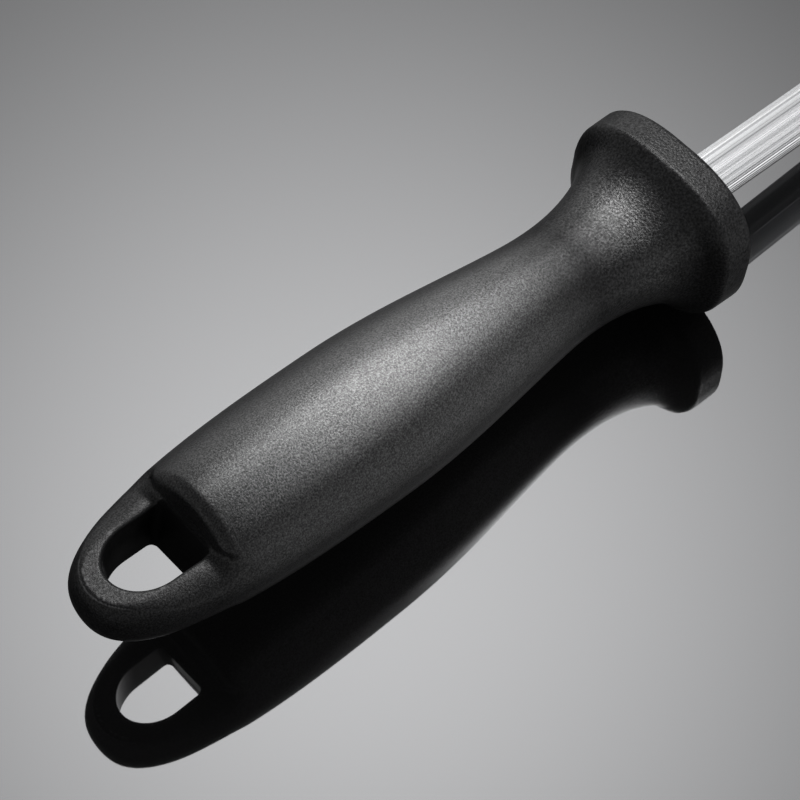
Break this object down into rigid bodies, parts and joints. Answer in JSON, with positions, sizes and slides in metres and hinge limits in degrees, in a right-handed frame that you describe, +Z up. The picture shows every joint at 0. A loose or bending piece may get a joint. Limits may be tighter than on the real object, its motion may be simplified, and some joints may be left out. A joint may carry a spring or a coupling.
{
  "type": "knife sharpening steel",
  "caption": "Round fluted sharpening rod in a bulged moulded handle with a flared rounded-square guard and a flat ring with a hanging hole.",
  "frame": {"origin": "middle of the bottom of the whole object's box, on the surface that the guard's lower flat lies on", "axes": "+X along the rod's axis from the handle's butt to the rod's tip, +Z up through the hanging hole, +Y to the left of +X"},
  "size_m": [0.392, 0.0406, 0.035],
  "materials": {
    "grip_polymer": "black, fine spark-eroded texture, satin",
    "core_polymer": "dark grey, smooth moulded",
    "chromed_steel": "hard chrome over fine lengthwise flutes"
  },
  "bodies": {
    "root": {"handle_grip": "grip_polymer", "handle_core": "core_polymer", "sharpening_rod": "chromed_steel"}
  },
  "joints": []
}
